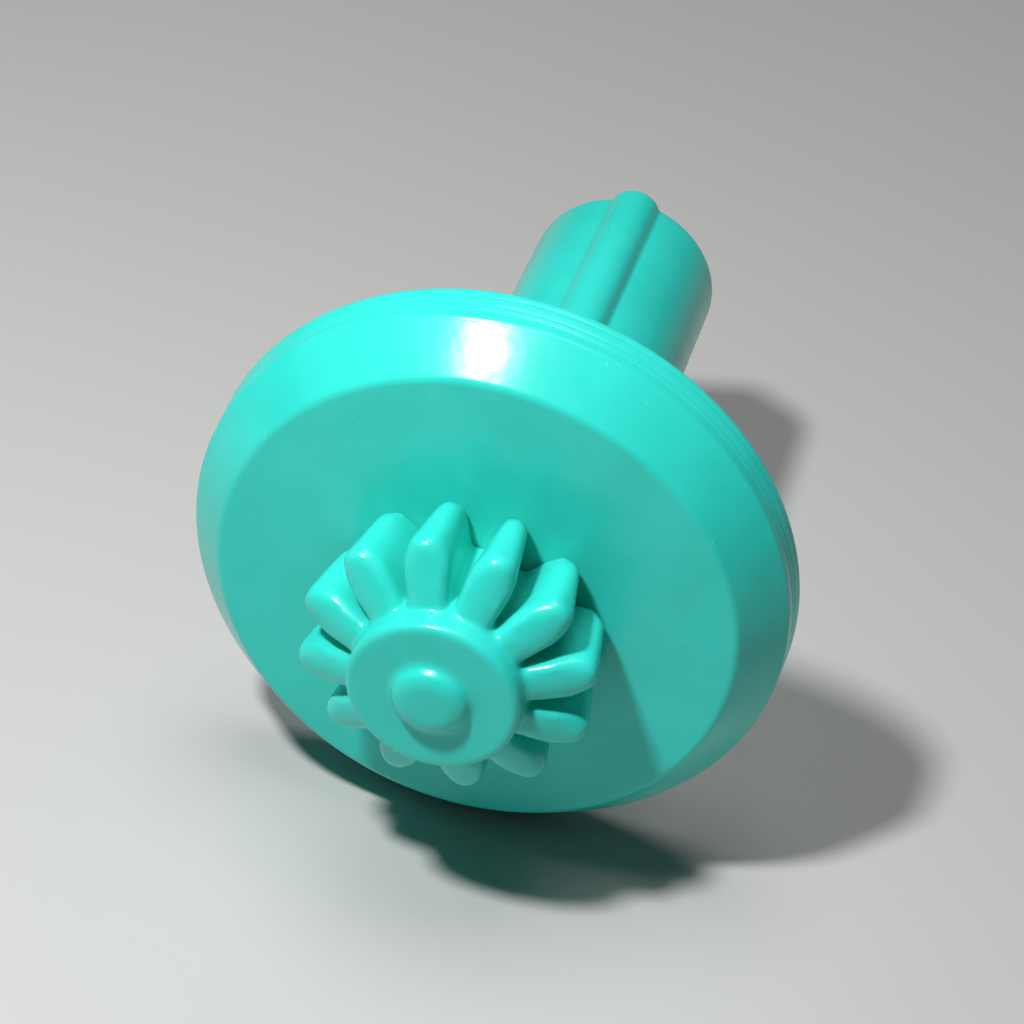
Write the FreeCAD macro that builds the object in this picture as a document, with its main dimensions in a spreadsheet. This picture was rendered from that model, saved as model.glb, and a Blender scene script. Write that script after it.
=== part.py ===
"""Small moulded pinion wheel that turns on a keyed stem.

Frame: millimetres, +Z up.  The wheel axis is the Y axis.  The origin is the centre of
the stem's front shoulder, the pinion points to -Y and the stem's key rib points to +Z.
"""

import FreeCAD, Part
import os
import Sketcher
from FreeCAD import Placement, Rotation, Vector

# Driving dimensions: alias, value, meaning.
DIMENSIONS = [
    ("stem_radius", 3.4, "round outside of the stem"),
    ("stem_length", 17.3, "front shoulder to rear end"),
    ("stem_end_round", 0.3, "rounding of the stem's rear end"),
    ("bore_radius", 1.25, "running bore for the axle"),
    ("counterbore_radius", 2.5, "recess at the rear end"),
    ("counterbore_depth", 3.0, "recess at the rear end"),
    ("rib_top", 3.9, "key rib, from the axis"),
    ("rib_half_width", 0.62, "key rib, at its flat flanks"),
    ("rib_crest_round", 0.5, "rounding along the key rib's crest"),
    ("rib_crease_round", 0.4, "hollow where the key rib meets the stem"),
    ("play", 0.05, "gap between turning and fixed faces"),
    ("washer_thickness", 0.3, "both washers"),
    ("thrust_washer_radius", 3.0, "outside"),
    ("rear_washer_radius", 2.3, "outside"),
    ("washer_bore_radius", 1.28, "clears the axle"),
    ("disc_radius", 10.0, "outer land at the back edge"),
    ("disc_thickness", 2.8, "front face to the back of the boss"),
    ("rim_step", 0.3, "back of the boss to the rim's back edge"),
    ("face_radius", 8.55, "flat front face, outer edge"),
    ("face_round", 0.3, "rounding where the face meets the bevel"),
    ("land_radius", 9.9, "outer land at its front edge"),
    ("land_depth", 1.6, "front face to the land's front edge"),
    ("land_round", 0.15, "rounding of the land's two edges"),
    ("web_thickness", 1.1, "web left by the coring of the back"),
    ("rim_inner_radius", 8.7, "inside of the rim"),
    ("boss_radius", 3.6, "boss around the axle"),
    ("spoke_half_width", 0.4, "stiffening spokes of the back"),
    ("spoke_step", 0.4, "spokes stop short of the back edge"),
    ("hub_radius", 2.8, "pinion hub, front part"),
    ("hub_height", 4.7, "disc face to hub end"),
    ("hub_round", 0.15, "rounding of the hub end"),
    ("root_radius", 2.5, "bottom of the tooth gaps at the disc"),
    ("foot_radius", 2.2, "tooth flanks start inside the hub"),
    ("tip_radius_heel", 4.4, "tooth tips near the disc"),
    ("heel_chamfer", 0.4, "tooth tips, cut back where they meet the disc"),
    ("tip_radius_bend", 4.88, "tooth tips at the front bend"),
    ("bend_height", 3.25, "disc face to the front bend"),
    ("tooth_height", 3.9, "disc face to the teeth's front end on the hub"),
    ("tip_half_heel", 0.38, "half of the tip land at the disc"),
    ("tip_half_front", 0.66, "half of the tip land at the front"),
    ("foot_half_heel", 0.38, "half of the tooth's foot at the disc"),
    ("foot_half_front", 0.62, "half of the tooth's foot at the front"),
    ("tooth_round", 0.2, "rounding of the tooth edges"),
    ("nose_radius", 1.2, "pivot nose in front of the hub"),
    ("nose_length", 0.5, "pivot nose beyond the hub end"),
    ("nose_round", 0.22, "rounding of the pivot nose"),
    ("nose_foot_round", 0.08, "hollow where the pivot nose meets the hub"),
    ("axle_radius", 1.2, "axle"),
    ("axle_end_round", 0.2, "rounding of the axle's front end"),
    ("hub_wall", 0.9, "hub material in front of the axle"),
    ("tail_length", 1.6, "axle behind the counterbore floor"),
    ("groove_radius", 0.9, "retaining ring groove"),
    ("ring_thickness", 0.35, "retaining ring"),
    ("ring_radius", 1.9, "retaining ring, outside"),
    ("ring_arc", 290.0, "degrees of the retaining ring"),
]

TOOTH_COUNT = 12
SPOKE_COUNT = 6

doc = FreeCAD.newDocument("PinionWheel")
sheet = doc.addObject("Spreadsheet::Sheet", "Size")
for row, (alias, value, meaning) in enumerate(DIMENSIONS, start=1):
    sheet.set(f"A{row}", alias)
    sheet.set(f"B{row}", str(value))
    sheet.set(f"C{row}", meaning)
    sheet.setAlias(f"B{row}", alias)
doc.recompute()

# Stations along the axis, as expressions on the sheet.
DISC_BACK = "-Size.washer_thickness - Size.play"
DISC_FACE = f"{DISC_BACK} - Size.disc_thickness"
RIM_BACK = f"{DISC_BACK} + Size.rim_step"
HUB_END = f"{DISC_FACE} - Size.hub_height"
RECESS_FLOOR = "Size.stem_length - Size.counterbore_depth"
RING_FRONT = f"{RECESS_FLOOR} + Size.washer_thickness + 2 * Size.play"
AXLE_END = f"{RECESS_FLOOR} + Size.tail_length"


def value(expression):
    return float(sheet.evalExpression(expression))


def origin_feature(body, role):
    return next(f for f in body.Origin.OriginFeatures if f.Role == role)


def new_body(label):
    body = doc.addObject("PartDesign::Body", label)
    body.Label = label
    return body


def outline(body, name, plane, points, offset=None):
    """Closed straight-sided sketch; each corner's place is two expressions on the sheet."""
    sketch = body.newObject("Sketcher::SketchObject", name)
    sketch.AttachmentSupport = [(origin_feature(body, plane), "")]
    sketch.MapMode = "FlatFace"
    if offset:
        sketch.setExpression("AttachmentOffset.Base.z", offset)
    corners = [Vector(value(across), value(along), 0) for across, along in points]
    for start, end in zip(corners, corners[1:] + corners[:1]):
        sketch.addGeometry(Part.LineSegment(start, end))
    for line in range(len(corners)):
        following = (line + 1) % len(corners)
        sketch.addConstraint(Sketcher.Constraint("Coincident", line, 2, following, 1))
    for line, (across, along) in enumerate(points):
        for kind, expression, place in (
            ("DistanceX", across, corners[line].x),
            ("DistanceY", along, corners[line].y),
        ):
            index = sketch.addConstraint(Sketcher.Constraint(kind, -1, 1, line, 1, place))
            sketch.setExpression(f"Constraints[{index}]", expression)
    return sketch


def revolve(body, name, points, cut=False):
    """Turns a profile of (radius, y) corners about the Y axis."""
    sketch = outline(body, f"{name}Profile", "XY_Plane", points)
    feature = body.newObject("PartDesign::Groove" if cut else "PartDesign::Revolution", name)
    feature.Profile = sketch
    feature.ReferenceAxis = (sketch, ["V_Axis"])
    feature.Angle = 360.0
    doc.recompute()
    return feature


def ring(body, name, inner, outer, front, back):
    corners = [(inner, front), (outer, front), (outer, back), (inner, back)]
    return revolve(body, name, corners)


def pad_along_axis(body, name, points, front, length):
    """Pads an (x, z) profile towards +Y from the station front."""
    sketch = outline(body, f"{name}Profile", "XZ_Plane", points, f"-({front})")
    feature = body.newObject("PartDesign::Pad", name)
    feature.Profile = sketch
    feature.Reversed = True
    feature.setExpression("Length", length)
    doc.recompute()
    return feature


def pattern_about_axis(body, name, feature, count):
    pattern = body.newObject("PartDesign::PolarPattern", name)
    pattern.Originals = [feature]
    pattern.Axis = (origin_feature(body, "Y_Axis"), [""])
    pattern.Angle = 360.0
    pattern.Occurrences = count
    body.Tip = pattern
    doc.recompute()
    return pattern


def fillet(body, name, radius, wanted):
    """Rounds the edges of the tip that the test wanted(edge) picks."""
    base = body.Tip
    names = [f"Edge{n}" for n, edge in enumerate(base.Shape.Edges, start=1) if wanted(edge)]
    feature = body.newObject("PartDesign::Fillet", name)
    feature.Base = (base, names)
    feature.setExpression("Radius", radius)
    doc.recompute()
    return feature


def distance_from_axis(point):
    return Vector(point.x, 0, point.z).Length


def is_round(edge, radius, station):
    """A circle about the axis, of this radius and at this station."""
    at_station = all(abs(v.Point.y - value(station)) < 0.01 for v in edge.Vertexes)
    at_radius = all(abs(distance_from_axis(v.Point) - value(radius)) < 0.01 for v in edge.Vertexes)
    return at_station and at_radius


def runs_along_axis(edge):
    ends = [v.Point for v in edge.Vertexes]
    return len(ends) == 2 and abs(ends[0].y - ends[1].y) > 1 and abs(ends[0].x - ends[1].x) < 0.01


def build_stem():
    """Sleeve with a running bore, a rear recess and one long key rib."""
    body = new_body("keyed_stem")
    revolve(body, "Sleeve", [
        ("Size.bore_radius", "0"),
        ("Size.stem_radius", "0"),
        ("Size.stem_radius", "Size.stem_length"),
        ("Size.counterbore_radius", "Size.stem_length"),
        ("Size.counterbore_radius", RECESS_FLOOR),
        ("Size.bore_radius", RECESS_FLOOR),
    ])
    pad_along_axis(body, "Rib", [
        ("-Size.rib_half_width", "Size.counterbore_radius + 0.3"),
        ("Size.rib_half_width", "Size.counterbore_radius + 0.3"),
        ("Size.rib_half_width", "Size.rib_top"),
        ("-Size.rib_half_width", "Size.rib_top"),
    ], "0", "Size.stem_length")
    half_width, rib_top = value("Size.rib_half_width"), value("Size.rib_top")

    def on_rib(edge, crest):
        """True for the rib's two lengthwise crest edges, or for the two creases at its foot."""
        point = edge.Vertexes[0].Point
        on_side = runs_along_axis(edge) and abs(abs(point.x) - half_width) < 0.01
        return on_side and (point.z > rib_top - 0.01) == crest

    fillet(body, "Crest", "Size.rib_crest_round", lambda edge: on_rib(edge, True))
    fillet(body, "Crease", "Size.rib_crease_round", lambda edge: on_rib(edge, False))
    fillet(body, "RearEnd", "Size.stem_end_round", lambda edge: (
        all(abs(v.Point.y - value("Size.stem_length")) < 0.01 for v in edge.Vertexes)
        and all(distance_from_axis(v.Point) > 3 for v in edge.Vertexes)
    ))
    return body


def build_axle():
    """Pin pressed into the pinion and the disc, grooved at its rear end."""
    body = new_body("axle")
    front = f"{HUB_END} + Size.hub_wall"
    ring_back = f"{RING_FRONT} + Size.ring_thickness"
    revolve(body, "Pin", [
        ("0", front),
        ("Size.axle_radius", front),
        ("Size.axle_radius", RING_FRONT),
        ("Size.groove_radius", RING_FRONT),
        ("Size.groove_radius", ring_back),
        ("Size.axle_radius", ring_back),
        ("Size.axle_radius", AXLE_END),
        ("0", AXLE_END),
    ])
    fillet(body, "Ends", "Size.axle_end_round", lambda edge: (
        is_round(edge, "Size.axle_radius", front) or is_round(edge, "Size.axle_radius", AXLE_END)
    ))
    return body


def build_pinion():
    """Hub with a pivot nose and teeth that widen and rise from the disc to a steep front cone."""
    body = new_body("bevel_pinion")
    bend = f"{DISC_FACE} - Size.bend_height"
    teeth_end = f"{DISC_FACE} - Size.tooth_height"
    nose_end = f"{HUB_END} - Size.nose_length"
    bore_end = f"{HUB_END} + Size.hub_wall"
    revolve(body, "Hub", [
        ("0", nose_end),
        ("Size.nose_radius", nose_end),
        ("Size.nose_radius", HUB_END),
        ("Size.hub_radius", HUB_END),
        ("Size.hub_radius", teeth_end),
        ("Size.root_radius", DISC_FACE),
        ("Size.axle_radius", DISC_FACE),
        ("Size.axle_radius", bore_end),
        ("0", bore_end),
    ])
    rise = "(Size.tip_radius_bend - Size.tip_radius_heel) / Size.bend_height"
    tip_radius_front = f"Size.tip_radius_heel + {rise} * Size.tooth_height"
    sections = []
    for name, foot_half, tip_half, tip_radius, station in (
        ("Heel", "Size.foot_half_heel", "Size.tip_half_heel", "Size.tip_radius_heel", DISC_FACE),
        ("Front", "Size.foot_half_front", "Size.tip_half_front", tip_radius_front, teeth_end),
    ):
        sections.append(outline(body, f"Tooth{name}", "XZ_Plane", [
            (f"-{foot_half}", "Size.foot_radius"),
            (foot_half, "Size.foot_radius"),
            (tip_half, tip_radius),
            (f"-{tip_half}", tip_radius),
        ], f"-({station})"))
    tooth = body.newObject("PartDesign::AdditiveLoft", "Tooth")
    tooth.Profile = sections[0]
    tooth.Sections = [sections[1]]
    doc.recompute()
    pattern_about_axis(body, "Teeth", tooth, TOOTH_COUNT)
    cone_slope = "(Size.tooth_height - Size.bend_height) / (Size.tip_radius_bend - Size.hub_radius)"
    revolve(body, "FrontCone", [
        ("Size.hub_radius", teeth_end),
        ("Size.tip_radius_bend + 1", f"{teeth_end} - Size.hub_round"),
        ("Size.tip_radius_bend + 1", f"{bend} + {cone_slope}"),
    ], cut=True)
    revolve(body, "HeelCone", [
        ("Size.tip_radius_heel - Size.heel_chamfer", DISC_FACE),
        ("Size.tip_radius_bend + 1", DISC_FACE),
        ("Size.tip_radius_bend + 1", f"{DISC_FACE} - Size.tip_radius_bend - 1 "
            "+ Size.tip_radius_heel - Size.heel_chamfer"),
    ], cut=True)
    fillet(body, "ToothEdges", "Size.tooth_round", lambda edge: (
        max(distance_from_axis(v.Point) for v in edge.Vertexes) > value("Size.hub_radius") + 1
        and any(v.Point.y < value(DISC_FACE) - 0.01 for v in edge.Vertexes)
    ))
    fillet(body, "HubEdge", "Size.hub_round", lambda edge: is_round(edge, "Size.hub_radius", HUB_END))
    fillet(body, "Nose", "Size.nose_round", lambda edge: is_round(edge, "Size.nose_radius", nose_end))
    fillet(body, "NoseFoot", "Size.nose_foot_round", lambda edge: is_round(edge, "Size.nose_radius", HUB_END))
    body.Placement = Placement(Vector(), Rotation(Vector(0, 1, 0), 180.0 / TOOTH_COUNT))
    return body


def build_disc():
    """Flange with a bevelled rim; the back is cored out and stiffened by spokes."""
    body = new_body("flange_disc")
    land_front = f"{DISC_FACE} + Size.land_depth"
    web_back = f"{DISC_FACE} + Size.web_thickness"
    revolve(body, "Flange", [
        ("Size.axle_radius", DISC_FACE),
        ("Size.face_radius", DISC_FACE),
        ("Size.land_radius", land_front),
        ("Size.disc_radius", RIM_BACK),
        ("Size.rim_inner_radius", RIM_BACK),
        ("Size.rim_inner_radius", web_back),
        ("Size.boss_radius", web_back),
        ("Size.boss_radius", DISC_BACK),
        ("Size.axle_radius", DISC_BACK),
    ])
    spoke = pad_along_axis(body, "Spoke", [
        ("-Size.spoke_half_width", "Size.boss_radius - 0.5"),
        ("Size.spoke_half_width", "Size.boss_radius - 0.5"),
        ("Size.spoke_half_width", "Size.rim_inner_radius + 0.3"),
        ("-Size.spoke_half_width", "Size.rim_inner_radius + 0.3"),
    ], web_back, "Size.disc_thickness - Size.web_thickness - Size.spoke_step")
    pattern_about_axis(body, "Spokes", spoke, SPOKE_COUNT)
    fillet(body, "FaceEdge", "Size.face_round", lambda edge: is_round(edge, "Size.face_radius", DISC_FACE))
    fillet(body, "LandEdges", "Size.land_round", lambda edge: (
        is_round(edge, "Size.land_radius", land_front) or is_round(edge, "Size.disc_radius", RIM_BACK)
    ))
    return body


def build_washers():
    """Thin washers that take the wheel's end thrust at both ends of the stem."""
    thrust = new_body("thrust_washer")
    ring(thrust, "Washer", "Size.axle_radius", "Size.thrust_washer_radius", DISC_BACK, "-Size.play")
    rear = new_body("rear_washer")
    rear_back = f"{RECESS_FLOOR} + Size.washer_thickness"
    ring(rear, "Washer", "Size.washer_bore_radius", "Size.rear_washer_radius", RECESS_FLOOR, rear_back)
    return [thrust, rear]


def build_retaining_ring():
    """Open ring that snaps into the axle's groove inside the stem's recess."""
    body = new_body("retaining_ring")
    ring_back = f"{RING_FRONT} + Size.ring_thickness"
    turned = ring(body, "Ring", "Size.groove_radius", "Size.ring_radius", RING_FRONT, ring_back)
    turned.setExpression("Angle", "Size.ring_arc")
    turned.Midplane = True
    body.Placement = Placement(Vector(), Rotation(Vector(0, 1, 0), -90))
    doc.recompute()
    return body


parts = [build_stem(), build_axle(), build_pinion(), build_disc(), *build_washers(), build_retaining_ring()]
doc.recompute()

for thing in doc.Objects:
    if {"Invalid", "Error"} & set(thing.State):
        raise RuntimeError(f"{thing.Label}: {thing.State}")
for part in parts:
    if part.Shape.isNull() or not part.Shape.isValid() or len(part.Shape.Solids) != 1:
        raise RuntimeError(f"{part.Label} isn't one valid solid")

os.makedirs("parts", exist_ok=True)
for part in parts:
    part.Shape.exportStep(f"parts/{part.Label}.step")
    print(f"{part.Label}: {part.Shape.Volume:.1f} mm3")
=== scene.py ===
import math

import bmesh
import bpy
from mathutils import Matrix, Vector


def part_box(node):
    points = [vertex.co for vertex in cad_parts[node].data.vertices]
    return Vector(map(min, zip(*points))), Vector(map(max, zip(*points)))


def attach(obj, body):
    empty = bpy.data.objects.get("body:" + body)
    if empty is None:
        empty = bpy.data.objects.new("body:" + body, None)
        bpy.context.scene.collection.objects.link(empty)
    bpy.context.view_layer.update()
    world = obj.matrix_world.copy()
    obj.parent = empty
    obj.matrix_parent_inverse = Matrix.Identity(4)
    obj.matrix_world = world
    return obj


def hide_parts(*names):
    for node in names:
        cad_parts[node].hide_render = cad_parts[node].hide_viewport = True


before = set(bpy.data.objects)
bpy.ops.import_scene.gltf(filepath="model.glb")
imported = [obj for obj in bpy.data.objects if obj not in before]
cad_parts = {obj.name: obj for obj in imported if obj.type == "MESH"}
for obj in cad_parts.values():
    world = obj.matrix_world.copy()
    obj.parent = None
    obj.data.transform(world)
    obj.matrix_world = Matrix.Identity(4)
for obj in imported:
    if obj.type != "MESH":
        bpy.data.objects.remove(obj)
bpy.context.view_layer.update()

# Pieces are shaped in millimetres and brought to metres when they are finished.
MM = 0.001
ROUND_STEPS = 6
TURN_STEPS = 192


def station(metres):
    """A place along the wheel axis, or a radius, of the frame in millimetres."""
    return metres / MM


# Driving dimensions in millimetres. Along the wheel axis they follow the CAD nodes.
DISC_RADIUS = 10.0
AXLE_RADIUS = 1.2
DISC_FACE = station(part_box("flange_disc")[0].y)
RIM_BACK = station(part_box("flange_disc")[1].y)
DISC_BACK = RIM_BACK - 0.3
NOSE_END = station(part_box("bevel_pinion")[0].y)
STEM_END = station(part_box("keyed_stem")[1].y)


# ---------------------------------------------------------------- making meshes

def pick(obj, wanted, kind="VERT"):
    """Selects the parts of the edited mesh for which wanted(part) is true."""
    bpy.ops.mesh.select_mode(type=kind)
    bpy.ops.mesh.select_all(action="DESELECT")
    mesh = bmesh.from_edit_mesh(obj.data)
    parts = {"VERT": mesh.verts, "EDGE": mesh.edges, "FACE": mesh.faces}[kind]
    for part in parts:
        part.select_set(wanted(part))
    mesh.select_flush_mode()
    bmesh.update_edit_mesh(obj.data)


def edit(obj):
    bpy.ops.object.select_all(action="DESELECT")
    obj.select_set(True)
    bpy.context.view_layer.objects.active = obj
    bpy.ops.object.mode_set(mode="EDIT")


def leave_edit():
    bpy.ops.object.mode_set(mode="OBJECT")


def rounded_outline(corners):
    """Points of an outline whose corners (radius, y, rounding) are replaced by arcs."""
    points = []
    count = len(corners)
    for index, (across, along, rounding) in enumerate(corners):
        corner = Vector((across, along))
        if not rounding:
            points.append(corner)
            continue
        before = Vector(corners[index - 1][:2]) - corner
        after = Vector(corners[(index + 1) % count][:2]) - corner
        half_turn = before.angle(after) / 2
        reach = rounding / math.tan(half_turn)
        centre = corner + (before.normalized() + after.normalized()).normalized() \
            * rounding / math.sin(half_turn)
        start = corner + before.normalized() * reach - centre
        sweep = start.angle_signed(corner + after.normalized() * reach - centre)
        for step in range(ROUND_STEPS + 1):
            turned = Matrix.Rotation(-sweep * step / ROUND_STEPS, 2) @ start
            points.append(centre + turned)
    return points


def turned_piece(name, corners, closed=True):
    """Draws an outline by extruding a point, then spins it about the wheel axis."""
    points = rounded_outline(corners)
    bpy.ops.object.select_all(action="DESELECT")
    bpy.ops.mesh.primitive_plane_add(size=1.0)
    piece = bpy.context.object
    piece.name = name
    bpy.ops.object.mode_set(mode="EDIT")
    bpy.ops.mesh.select_mode(type="VERT")
    bpy.ops.mesh.merge(type="CENTER")
    bpy.ops.transform.translate(value=(*points[0], 0.0))
    if closed:
        points.append(points[0])
    for start, end in zip(points, points[1:]):
        bpy.ops.mesh.extrude_region_move(TRANSFORM_OT_translate={"value": (*(end - start), 0.0)})
    bpy.ops.mesh.select_all(action="SELECT")
    bpy.ops.mesh.remove_doubles(threshold=0.0001)
    bpy.ops.mesh.spin(steps=TURN_STEPS, angle=math.tau, center=(0, 0, 0), axis=(0, 1, 0))
    bpy.ops.mesh.select_all(action="SELECT")
    bpy.ops.mesh.remove_doubles(threshold=0.0001)
    bpy.ops.mesh.normals_make_consistent(inside=False)
    leave_edit()
    return piece


def block(name, low, high):
    """A box between two corners, as the start of a shaped piece."""
    low, high = Vector(low), Vector(high)
    bpy.ops.object.select_all(action="DESELECT")
    bpy.ops.mesh.primitive_cube_add(size=1.0, location=(low + high) / 2)
    piece = bpy.context.object
    piece.name = name
    piece.scale = high - low
    bpy.ops.object.transform_apply(location=True, rotation=True, scale=True)
    return piece


def copies_about_axis(piece, count, first=0.0):
    """Copies of a piece round the wheel axis, each with its own mesh; the piece is the first."""
    copies = []
    for number in range(count):
        copy = piece if number == 0 else piece.copy()
        if number:
            copy.data = piece.data.copy()
            bpy.context.scene.collection.objects.link(copy)
        copies.append(copy)
    for number, copy in enumerate(copies):
        copy.data.transform(Matrix.Rotation(math.radians(first + 360.0 * number / count), 4, "Y"))
    return copies


def join(target, others):
    bpy.ops.object.select_all(action="DESELECT")
    for piece in [target, *others]:
        piece.select_set(True)
    bpy.context.view_layer.objects.active = target
    bpy.ops.object.join()
    return target


def apply_modifier(piece, kind, **settings):
    bpy.ops.object.select_all(action="DESELECT")
    piece.select_set(True)
    bpy.context.view_layer.objects.active = piece
    modifier = piece.modifiers.new(kind.lower(), kind)
    for name, value in settings.items():
        setattr(modifier, name, value)
    bpy.ops.object.modifier_apply(modifier=modifier.name)


def fuse_softly(piece, voxel, passes):
    """Makes overlapping shells one skin and melts its edges, as a moulded part's are."""
    apply_modifier(piece, "REMESH", mode="VOXEL", voxel_size=voxel)
    apply_modifier(piece, "SMOOTH", factor=0.5, iterations=passes)


def finish_piece(piece, body, material, smooth_angle=40.0):
    """Brings a piece to metres, smooths its shading and hands it to its body."""
    edit(piece)
    bpy.ops.mesh.select_all(action="SELECT")
    bpy.ops.transform.resize(value=(MM, MM, MM), center_override=(0, 0, 0))
    leave_edit()
    bpy.ops.object.shade_smooth_by_angle(angle=math.radians(smooth_angle))
    piece.data.materials.clear()
    piece.data.materials.append(material)
    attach(piece, body)
    return piece


# ---------------------------------------------------------------- materials

def add_node(tree, kind, **settings):
    """A node with its properties and its unlinked inputs set by name."""
    node = tree.nodes.new(kind)
    for name, value in settings.items():
        if hasattr(node, name):
            setattr(node, name, value)
        else:
            node.inputs[name.replace("_", " ")].default_value = value
    return node


def calculate(tree, operation, first, second=None, clamp=False):
    """A Math node; each operand is a socket or a number."""
    node = tree.nodes.new("ShaderNodeMath")
    node.operation = operation
    node.use_clamp = clamp
    for index, operand in enumerate((first, second)):
        if isinstance(operand, (int, float)):
            node.inputs[index].default_value = operand
        elif operand is not None:
            tree.links.new(operand, node.inputs[index])
    return node.outputs[0]


def band(tree, source, low, high):
    """0 below low, 1 above high, and a soft step between them."""
    node = add_node(tree, "ShaderNodeMapRange", interpolation_type="SMOOTHSTEP",
                    From_Min=low, From_Max=high)
    tree.links.new(source, node.inputs["Value"])
    return node.outputs["Result"]


def noise(tree, vector, scale, detail=2.0, roughness=0.5):
    node = add_node(tree, "ShaderNodeTexNoise", Scale=scale, Detail=detail, Roughness=roughness)
    if vector is not None:
        tree.links.new(vector, node.inputs["Vector"])
    return node.outputs["Fac"]


def tint(tree, mask, below, above):
    """Mixes two colours; each is a socket or an RGB triple."""
    node = tree.nodes.new("ShaderNodeMix")
    node.data_type = "RGBA"
    tree.links.new(mask, node.inputs["Factor"])
    for socket, colour in ((node.inputs["A"], below), (node.inputs["B"], above)):
        if isinstance(colour, tuple):
            socket.default_value = (*colour, 1.0)
        else:
            tree.links.new(colour, socket)
    return node.outputs["Result"]


def new_group(name, inputs, outputs):
    """A shader group with float inputs {name: default} beside its vector, and float outputs."""
    tree = bpy.data.node_groups.new(name, "ShaderNodeTree")
    tree.interface.new_socket("Vector", in_out="INPUT", socket_type="NodeSocketVector")
    for socket_name, default in inputs.items():
        socket = tree.interface.new_socket(socket_name, in_out="INPUT", socket_type="NodeSocketFloat")
        socket.default_value = default
    for socket_name in outputs:
        tree.interface.new_socket(socket_name, in_out="OUTPUT", socket_type="NodeSocketFloat")
    return tree, tree.nodes.new("NodeGroupInput"), tree.nodes.new("NodeGroupOutput")


def use_group(tree, group, vector, **values):
    node = tree.nodes.new("ShaderNodeGroup")
    node.node_tree = group
    tree.links.new(vector, node.inputs["Vector"])
    for name, value in values.items():
        node.inputs[name.replace("_", " ")].default_value = value
    return node


def make_scratch_group():
    """Sparse hairline scratches in three directions, broken up along their length."""
    tree, inside, outside = new_group("fine scratches", {"Density": 0.5}, ["Mask"])
    total = None
    for turn in ((0.3, 0.2, 0.9), (0.9, -0.5, 2.1), (-0.4, 0.8, 3.0)):
        mapping = add_node(tree, "ShaderNodeMapping", Rotation=turn, Scale=(5200.0, 5200.0, 210.0))
        tree.links.new(inside.outputs["Vector"], mapping.inputs["Vector"])
        lines = band(tree, noise(tree, mapping.outputs["Vector"], 1.0, 1.0), 0.72, 0.77)
        total = lines if total is None else calculate(tree, "MAXIMUM", total, lines)
    patches = noise(tree, inside.outputs["Vector"], 260.0, 2.0)
    limit = calculate(tree, "SUBTRACT", 1.0, inside.outputs["Density"])
    open_patches = calculate(tree, "GREATER_THAN", patches, limit)
    tree.links.new(calculate(tree, "MULTIPLY", total, open_patches), outside.inputs["Mask"])
    return tree


def make_dust_group():
    """Rare specks and lint: a few cells of a fine Voronoi hold one speck each."""
    tree, inside, outside = new_group("dust specks", {"Share": 0.06, "Size": 0.12}, ["Mask"])
    cells = add_node(tree, "ShaderNodeTexVoronoi", Scale=900.0, Randomness=1.0)
    tree.links.new(inside.outputs["Vector"], cells.inputs["Vector"])
    chance = tree.nodes.new("ShaderNodeSeparateColor")
    tree.links.new(cells.outputs["Color"], chance.inputs["Color"])
    chosen = calculate(tree, "LESS_THAN", chance.outputs["Red"], inside.outputs["Share"])
    reach = calculate(tree, "MULTIPLY", chance.outputs["Green"], inside.outputs["Size"])
    speck = calculate(tree, "LESS_THAN", cells.outputs["Distance"], reach)
    tree.links.new(calculate(tree, "MULTIPLY", chosen, speck), outside.inputs["Mask"])
    return tree


def make_turning_group():
    """Lines left round the wheel axis by the turned mould, from the radius and the place along it."""
    tree, inside, outside = new_group("turned mould lines", {"Fineness": 9000.0}, ["Height", "Radius"])
    axes = tree.nodes.new("ShaderNodeSeparateXYZ")
    tree.links.new(inside.outputs["Vector"], axes.inputs["Vector"])
    squares = [calculate(tree, "MULTIPLY", axes.outputs[name], axes.outputs[name]) for name in "XZ"]
    radius = calculate(tree, "SQRT", calculate(tree, "ADD", *squares))
    place = tree.nodes.new("ShaderNodeCombineXYZ")
    tree.links.new(calculate(tree, "MULTIPLY", radius, inside.outputs["Fineness"]), place.inputs["X"])
    along = calculate(tree, "MULTIPLY", axes.outputs["Y"], inside.outputs["Fineness"])
    tree.links.new(along, place.inputs["Y"])
    drift = noise(tree, inside.outputs["Vector"], 120.0, 1.0)
    tree.links.new(calculate(tree, "MULTIPLY", drift, 1.5), place.inputs["Z"])
    tree.links.new(noise(tree, place.outputs["Vector"], 1.0, 2.0), outside.inputs["Height"])
    tree.links.new(radius, outside.inputs["Radius"])
    return tree


def make_edge_wear_and_highlight_group():
    """Mask for edge wear and a painted edge highlight: 1 on outward edges, where the surface folds
    back within reach, and 0 on open faces.
    """
    tree, inside, outside = new_group("edge wear and painted highlight", {"Reach": 0.00035}, ["Mask"])
    inward = add_node(tree, "ShaderNodeAmbientOcclusion", inside=True, only_local=True, samples=8)
    tree.links.new(inside.outputs["Reach"], inward.inputs["Distance"])
    folded = calculate(tree, "SUBTRACT", 1.0, inward.outputs["AO"])
    tree.links.new(band(tree, folded, 0.15, 0.75), outside.inputs["Mask"])
    return tree


SCRATCHES = make_scratch_group()
DUST = make_dust_group()
TURNING = make_turning_group()
EDGE_WEAR_AND_HIGHLIGHT = make_edge_wear_and_highlight_group()


def new_material(name, colour, roughness, metallic=0.0):
    """A material with object coordinates; returns it, its tree, its shader and its coordinates."""
    material = bpy.data.materials.new(name)
    material.use_nodes = True
    tree = material.node_tree
    shader = tree.nodes["Principled BSDF"]
    shader.inputs["Base Color"].default_value = (*colour, 1.0)
    shader.inputs["Roughness"].default_value = roughness
    shader.inputs["Metallic"].default_value = metallic
    coordinates = tree.nodes.new("ShaderNodeTexCoord").outputs["Object"]
    return material, tree, shader, coordinates


def link_bump(tree, shader, height, strength, distance):
    bump = add_node(tree, "ShaderNodeBump", Strength=strength, Distance=distance)
    tree.links.new(height, bump.inputs["Height"])
    tree.links.new(bump.outputs["Normal"], shader.inputs["Normal"])


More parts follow.
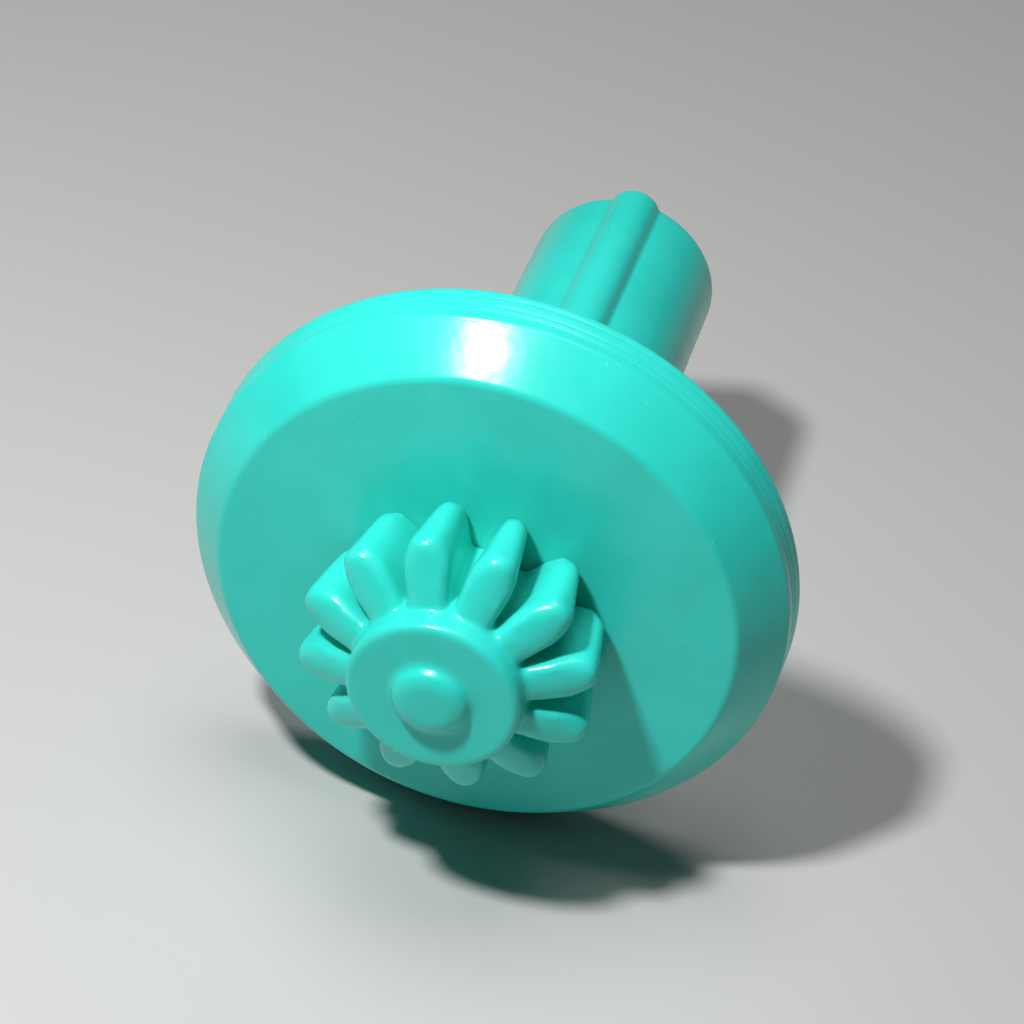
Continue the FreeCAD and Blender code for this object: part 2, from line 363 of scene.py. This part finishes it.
def make_teal(name, line_strength):
    """Glossy, slightly milky teal plastic; line_strength is how much the mould's turning shows."""
    # pale is the colour of the outward edges: partly wear, partly a painted highlight.
    body, rich, pale = (0.034, 0.67, 0.585), (0.028, 0.63, 0.54), (0.09, 0.81, 0.73)
    material, tree, shader, where = new_material(name, body, 0.24)
    shader.inputs["IOR"].default_value = 1.49
    shader.inputs["Specular IOR Level"].default_value = 0.38
    shader.inputs["Subsurface Weight"].default_value = 0.18
    shader.inputs["Subsurface Radius"].default_value = (0.25, 1.0, 0.9)
    shader.inputs["Subsurface Scale"].default_value = 0.0007

    flow = noise(tree, where, 330.0, 3.0)
    colour = tint(tree, band(tree, flow, 0.35, 0.65), rich, body)
    # Outward edges are lightened toward pale teal: partly wear, partly a painted highlight.
    edges = use_group(tree, EDGE_WEAR_AND_HIGHLIGHT, where, Reach=0.00035).outputs["Mask"]
    colour = tint(tree, calculate(tree, "MULTIPLY", edges, 0.6), colour, pale)
    scratches = use_group(tree, SCRATCHES, where, Density=0.42).outputs["Mask"]
    colour = tint(tree, calculate(tree, "MULTIPLY", scratches, 0.10), colour, (0.20, 0.84, 0.78))
    dust = use_group(tree, DUST, where, Share=0.05, Size=0.07).outputs["Mask"]
    colour = tint(tree, calculate(tree, "MULTIPLY", dust, 0.45), colour, (0.65, 0.85, 0.82))
    tree.links.new(colour, shader.inputs["Base Color"])

    smear = calculate(tree, "MULTIPLY", noise(tree, where, 420.0, 4.0, 0.6), 0.16)
    roughness = calculate(tree, "ADD", 0.17, smear)
    roughness = calculate(tree, "ADD", roughness, calculate(tree, "MULTIPLY", scratches, 0.25))
    roughness = calculate(tree, "ADD", roughness, calculate(tree, "MULTIPLY", dust, 0.5), clamp=True)
    tree.links.new(roughness, shader.inputs["Roughness"])

    turning = use_group(tree, TURNING, where, Fineness=9000.0)
    on_rim = band(tree, turning.outputs["Radius"], 0.0096, 0.0099)
    lines = calculate(tree, "MULTIPLY", turning.outputs["Height"], on_rim)
    lines = calculate(tree, "MULTIPLY", lines, line_strength)
    waves = calculate(tree, "MULTIPLY", noise(tree, where, 750.0, 2.0), 1.3)
    grain = calculate(tree, "MULTIPLY", noise(tree, where, 5200.0, 2.0), 0.05)
    height = calculate(tree, "ADD", calculate(tree, "ADD", waves, grain), lines)
    height = calculate(tree, "SUBTRACT", height, calculate(tree, "MULTIPLY", scratches, 0.12))
    height = calculate(tree, "ADD", height, calculate(tree, "MULTIPLY", dust, 0.4))
    link_bump(tree, shader, height, 0.6, 0.00003)
    return material


def make_nylon():
    """Natural nylon of the washers: milky, with a fine punched grain."""
    material, tree, shader, where = new_material("natural nylon", (0.78, 0.76, 0.68), 0.45)
    shader.inputs["Subsurface Weight"].default_value = 0.2
    shader.inputs["Subsurface Scale"].default_value = 0.0005
    colour = tint(tree, noise(tree, where, 900.0, 3.0), (0.70, 0.67, 0.58), (0.84, 0.82, 0.75))
    # Outward edges are lightened: partly wear, partly a painted highlight.
    edges = use_group(tree, EDGE_WEAR_AND_HIGHLIGHT, where, Reach=0.0001).outputs["Mask"]
    colour = tint(tree, calculate(tree, "MULTIPLY", edges, 0.5), colour, (0.90, 0.88, 0.82))
    tree.links.new(colour, shader.inputs["Base Color"])
    grain = noise(tree, where, 6000.0, 3.0)
    roughness = calculate(tree, "ADD", 0.35, calculate(tree, "MULTIPLY", grain, 0.2))
    tree.links.new(roughness, shader.inputs["Roughness"])
    link_bump(tree, shader, grain, 0.3, 0.00002)
    return material


def make_steel():
    """Bright drawn steel: lines round the axis, a little tarnish and hairline scratches."""
    material, tree, shader, where = new_material("bright steel", (0.56, 0.56, 0.57), 0.28, 1.0)
    tarnish = band(tree, noise(tree, where, 800.0, 4.0), 0.45, 0.75)
    colour = tint(tree, tarnish, (0.60, 0.60, 0.61), (0.42, 0.40, 0.37))
    # Outward edges are brightened: partly wear, partly a painted highlight.
    edges = use_group(tree, EDGE_WEAR_AND_HIGHLIGHT, where, Reach=0.0001).outputs["Mask"]
    colour = tint(tree, calculate(tree, "MULTIPLY", edges, 0.6), colour, (0.72, 0.72, 0.73))
    tree.links.new(colour, shader.inputs["Base Color"])
    lines = use_group(tree, TURNING, where, Fineness=26000.0).outputs["Height"]
    scratches = use_group(tree, SCRATCHES, where, Density=0.5).outputs["Mask"]
    roughness = calculate(tree, "ADD", 0.2, calculate(tree, "MULTIPLY", lines, 0.2))
    tree.links.new(calculate(tree, "ADD", roughness, calculate(tree, "MULTIPLY", tarnish, 0.15)),
                   shader.inputs["Roughness"])
    link_bump(tree, shader, calculate(tree, "SUBTRACT", lines, scratches), 0.4, 0.00001)
    return material


def make_table():
    material, tree, shader, where = new_material("pale table", (0.52, 0.52, 0.51), 0.65)
    colour = tint(tree, noise(tree, where, 25.0, 3.0), (0.50, 0.50, 0.49), (0.54, 0.54, 0.53))
    tree.links.new(colour, shader.inputs["Base Color"])
    return material


TEAL = make_teal("teal plastic", 0.0)
TEAL_RIM = make_teal("teal plastic with mould lines", 1.0)
NYLON = make_nylon()
STEEL = make_steel()
TABLE = make_table()


# ---------------------------------------------------------------- pinion

TOOTH_COUNT = 12
HUB_RADIUS = 2.8
ROOT_RADIUS = 2.5
HUB_END = DISC_FACE - 4.7
TEETH_END = DISC_FACE - 3.9
TOOTH_BEND = DISC_FACE - 3.2
HUB_WALL = 0.9
VOXEL = 0.07


def shape_section(tooth, y, corners):
    """Brings a section's corners, foot first, to pairs of (half width, distance from the axis)."""
    mesh = bmesh.from_edit_mesh(tooth.data)
    heights = sorted(v.co.z for v in mesh.verts if abs(v.co.y - y) < 0.001)
    for (half_width, distance), height in reversed(list(zip(corners, heights[::2]))):
        pick(tooth, lambda v: abs(v.co.y - y) < 0.001 and abs(v.co.z - height) < 0.001)
        width = max(v.co.x for v in bmesh.from_edit_mesh(tooth.data).verts if v.select)
        bpy.ops.transform.resize(value=(half_width / width, 1, 1), center_override=(0, y, height))
        bpy.ops.transform.translate(value=(0, 0, distance - height))


def make_tooth():
    """One tooth: a block run forward from the disc in four sections, its edges bevelled."""
    foot = 2.0
    heel_end = DISC_FACE - 0.4
    sections = [
        # y, then half width and distance from the axis of the foot, the shoulder and the tip
        (DISC_FACE, (0.36, foot), (0.39, 3.65), (0.25, 4.02)),
        (heel_end, (0.38, foot), (0.46, 3.95), (0.28, 4.46)),
        (TOOTH_BEND, (0.58, foot), (0.78, 4.12), (0.46, 4.90)),
        (TEETH_END, (0.56, foot), (0.56, 2.55), (0.46, 2.95)),
    ]
    tooth = block("tooth", (-0.4, heel_end, foot), (0.4, DISC_FACE, 4.0))
    edit(tooth)
    bpy.ops.mesh.select_all(action="SELECT")
    bpy.ops.mesh.bisect(plane_co=(0, 0, 3.0), plane_no=(0, 0, 1))
    shape_section(tooth, DISC_FACE, sections[0][1:])
    shape_section(tooth, heel_end, sections[1][1:])
    front = heel_end
    for y, *corners in sections[2:]:
        pick(tooth, lambda f: all(abs(v.co.y - front) < 0.001 for v in f.verts), "FACE")
        bpy.ops.mesh.extrude_region_move(TRANSFORM_OT_translate={"value": (0, y - front, 0)})
        shape_section(tooth, y, corners)
        front = y
    # Every edge but the ones that run down to the foot.
    pick(tooth, lambda e: min(v.co.z for v in e.verts) > 2.4 and max(v.co.z for v in e.verts) > 2.8,
         "EDGE")
    bpy.ops.mesh.bevel(offset=0.30, segments=5, profile=0.5)
    bpy.ops.mesh.select_all(action="SELECT")
    bpy.ops.mesh.normals_make_consistent(inside=False)
    leave_edit()
    return tooth


def make_pinion():
    """Hub with its low domed nose and 12 teeth, melted into one moulding."""
    hub = turned_piece("pinion", [
        (0.0, NOSE_END + 0.04, 0),
        (0.80, NOSE_END + 0.05, 0.45),
        (1.15, NOSE_END + 0.20, 0.20),
        (1.27, HUB_END, 0.15),
        (HUB_RADIUS, HUB_END, 0.22),
        (HUB_RADIUS, TEETH_END, 0),
        (ROOT_RADIUS, DISC_FACE, 0),
        (AXLE_RADIUS, DISC_FACE, 0),
        (AXLE_RADIUS, HUB_END + HUB_WALL, 0),
        (0.0, HUB_END + HUB_WALL, 0),
    ], closed=False)
    teeth = copies_about_axis(make_tooth(), TOOTH_COUNT, 180.0 / TOOTH_COUNT)
    pinion = join(hub, teeth)
    fuse_softly(pinion, VOXEL, 21)
    finish_piece(pinion, "wheel", TEAL, 70.0)
    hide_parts("bevel_pinion")
    return pinion


# ---------------------------------------------------------------- disc

FACE_RADIUS = 8.55
LAND_FRONT = DISC_FACE + 1.6
LAND_RADIUS = 9.9
RIM_RADIUS = DISC_RADIUS - 0.02
RIM_INSIDE = 8.7
BOSS_RADIUS = 3.6
WEB_BACK = DISC_FACE + 1.1
SPOKE_HALF_WIDTH = 0.4
SPOKE_COUNT = 6


def land_lines():
    """Corners of the fine V lines that run round the land, from the front one to the back one."""
    depth, half_width = 0.03, 0.05
    corners = []
    for along in (0.4, 0.7, 1.15):
        share = along / (RIM_BACK - LAND_FRONT)
        radius = LAND_RADIUS + share * (RIM_RADIUS - LAND_RADIUS)
        corners += [
            (radius, LAND_FRONT + along - half_width, 0),
            (radius - depth, LAND_FRONT + along, 0),
            (radius, LAND_FRONT + along + half_width, 0),
        ]
    return corners


def make_disc():
    """Flange with a bevelled rim, cored out at the back between its spokes."""
    disc = turned_piece("disc", [
        (AXLE_RADIUS, DISC_FACE, 0),
        (FACE_RADIUS, DISC_FACE, 0.35),
        (LAND_RADIUS, LAND_FRONT, 0.2),
        *land_lines(),
        (RIM_RADIUS, RIM_BACK, 0.15),
        (RIM_INSIDE, RIM_BACK, 0.12),
        (RIM_INSIDE, WEB_BACK, 0.3),
        (BOSS_RADIUS, WEB_BACK, 0.25),
        (BOSS_RADIUS, DISC_BACK, 0.12),
        (AXLE_RADIUS, DISC_BACK, 0),
    ])
    spoke = block("spoke", (-SPOKE_HALF_WIDTH, WEB_BACK - 0.2, BOSS_RADIUS - 0.4),
                  (SPOKE_HALF_WIDTH, DISC_BACK - 0.4, RIM_INSIDE + 0.2))
    edit(spoke)
    pick(spoke, lambda e: (all(v.co.y > WEB_BACK for v in e.verts)
                           and abs(e.verts[0].co.z - e.verts[1].co.z) > 1), "EDGE")
    bpy.ops.mesh.bevel(offset=0.12, segments=4)
    leave_edit()
    first, *others = copies_about_axis(spoke, SPOKE_COUNT)
    spokes = join(first, others)
    apply_modifier(disc, "BOOLEAN", operation="UNION", solver="EXACT", object=spokes)
    bpy.data.objects.remove(spokes)
    finish_piece(disc, "wheel", TEAL_RIM, 30.0)
    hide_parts("flange_disc")
    return disc


# ---------------------------------------------------------------- stem

STEM_RADIUS = 3.4
RIB_HEIGHT = 0.49
RIB_REACH = 0.85
RECESS_RADIUS = 2.5
BORE_RADIUS = 1.25
RECESS_FLOOR = STEM_END - 3.0
FRONT_ROUND = 0.15
END_ROUND = 0.3


def round_off(piece, y, towards, rounding):
    """Carries the wall's open edge round a quarter circle into the end face."""
    shrunk = 1.0
    reached = y
    for step in range(1, ROUND_STEPS + 1):
        angle = math.pi / 2 * step / ROUND_STEPS
        wanted = 1.0 - rounding * (1 - math.cos(angle)) / STEM_RADIUS
        place = y + towards * rounding * math.sin(angle)
        bpy.ops.mesh.extrude_region_move(TRANSFORM_OT_translate={"value": (0, place - reached, 0)})
        bpy.ops.transform.resize(value=(wanted / shrunk, 1, wanted / shrunk),
                                 center_override=(0, place, 0))
        shrunk, reached = wanted, place


def make_stem():
    """Outline with one soft rib, drawn along the axis, closed by its bore and rear recess."""
    bpy.ops.object.select_all(action="DESELECT")
    bpy.ops.mesh.primitive_circle_add(vertices=2 * TURN_STEPS, radius=STEM_RADIUS,
                                      rotation=(math.pi / 2, 0, 0), location=(0, FRONT_ROUND, 0))
    stem = bpy.context.object
    stem.name = "stem"
    bpy.ops.object.transform_apply(location=True, rotation=True, scale=True)
    edit(stem)
    pick(stem, lambda v: abs(v.co.x) < 0.01 and v.co.z > 0)
    bpy.ops.transform.translate(value=(0, 0, RIB_HEIGHT), use_proportional_edit=True,
                                proportional_edit_falloff="SPHERE", proportional_size=RIB_REACH)
    pick(stem, lambda v: abs(v.co.x) < 2 * RIB_REACH and v.co.z > 0)
    bpy.ops.mesh.vertices_smooth(factor=0.5, repeat=2)
    bpy.ops.mesh.select_all(action="SELECT")
    bpy.ops.mesh.duplicate()
    round_off(stem, FRONT_ROUND, -1, FRONT_ROUND)
    leave_edit()
    edit(stem)
    pick(stem, lambda v: abs(v.co.y - FRONT_ROUND) < 0.001 and len(v.link_faces) == 0)
    wall = STEM_END - END_ROUND - FRONT_ROUND
    bpy.ops.mesh.extrude_region_move(TRANSFORM_OT_translate={"value": (0, wall, 0)})
    round_off(stem, STEM_END - END_ROUND, 1, END_ROUND)
    leave_edit()

    inside = turned_piece("inside", [
        (BORE_RADIUS, 0.0, 0),
        (BORE_RADIUS, RECESS_FLOOR, 0),
        (RECESS_RADIUS, RECESS_FLOOR, 0),
        (RECESS_RADIUS, STEM_END, 0),
    ], closed=False)
    join(stem, [inside])
    edit(stem)
    for y in (0.0, STEM_END):
        pick(stem, lambda e: e.is_boundary and all(abs(v.co.y - y) < 0.0005 for v in e.verts), "EDGE")
        bpy.ops.mesh.bridge_edge_loops()
    bpy.ops.mesh.select_all(action="SELECT")
    bpy.ops.mesh.remove_doubles(threshold=0.0001)
    bpy.ops.mesh.normals_make_consistent(inside=False)
    leave_edit()
    finish_piece(stem, "stem", TEAL, 30.0)
    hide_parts("keyed_stem")
    return stem


make_pinion()
make_disc()
make_stem()

for node, material in (
    ("axle", STEEL), ("retaining_ring", STEEL), ("thrust_washer", NYLON), ("rear_washer", NYLON),
):
    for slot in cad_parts[node].material_slots:
        slot.material = material


# ---------------------------------------------------------------- floor, light, camera

bpy.ops.object.select_all(action="DESELECT")
bpy.ops.mesh.primitive_plane_add(size=1.2, location=(0, 0, -DISC_RADIUS * MM))
floor = bpy.context.object
floor.name = "floor"
floor.data.materials.append(TABLE)


def softbox(name, place, size, watts):
    """A round soft light that looks at the frame's origin."""
    light = bpy.data.lights.new(name, "AREA")
    light.shape = "DISK"
    light.size = size
    light.energy = watts
    lamp = bpy.data.objects.new(name, light)
    lamp.location = place
    lamp.rotation_euler = (-Vector(place)).to_track_quat("-Z", "Y").to_euler()
    bpy.context.scene.collection.objects.link(lamp)


softbox("key", (-0.027, -0.036, 0.080), 0.009, 0.092)
softbox("ceiling", (-0.03, 0.04, 0.50), 0.30, 0.95)

# The room is dim, but the camera sees it as a pale wall behind the table.
world = bpy.data.worlds.new("studio")
world.use_nodes = True
room = world.node_tree.nodes["Background"]
room.inputs["Color"].default_value = (0.90, 0.93, 0.95, 1.0)
seen = world.node_tree.nodes.new("ShaderNodeLightPath").outputs["Is Camera Ray"]
strength = calculate(world.node_tree, "ADD", calculate(world.node_tree, "MULTIPLY", seen, 0.45), 0.045)
world.node_tree.links.new(strength, room.inputs["Strength"])
bpy.context.scene.world = world
bpy.context.scene.view_settings.view_transform = "Standard"

# The camera looks down on the face of the wheel from its upper right.
CAMERA_PLACE = Vector((0.01304, -0.07438, 0.06088))
CAMERA_FORWARD = Vector((-0.13354, 0.77517, -0.61748))
CAMERA_UP = Vector((-0.25986, 0.57387, 0.77663))
camera_data = bpy.data.cameras.new("camera")
camera_data.lens = 104.63
camera_data.sensor_width = 36.0
camera_data.clip_start = 0.005
camera = bpy.data.objects.new("camera", camera_data)
turn = Matrix((CAMERA_FORWARD.cross(CAMERA_UP), CAMERA_UP, -CAMERA_FORWARD)).transposed().to_4x4()
camera.matrix_world = Matrix.Translation(CAMERA_PLACE) @ turn
bpy.context.scene.collection.objects.link(camera)
bpy.context.scene.camera = camera
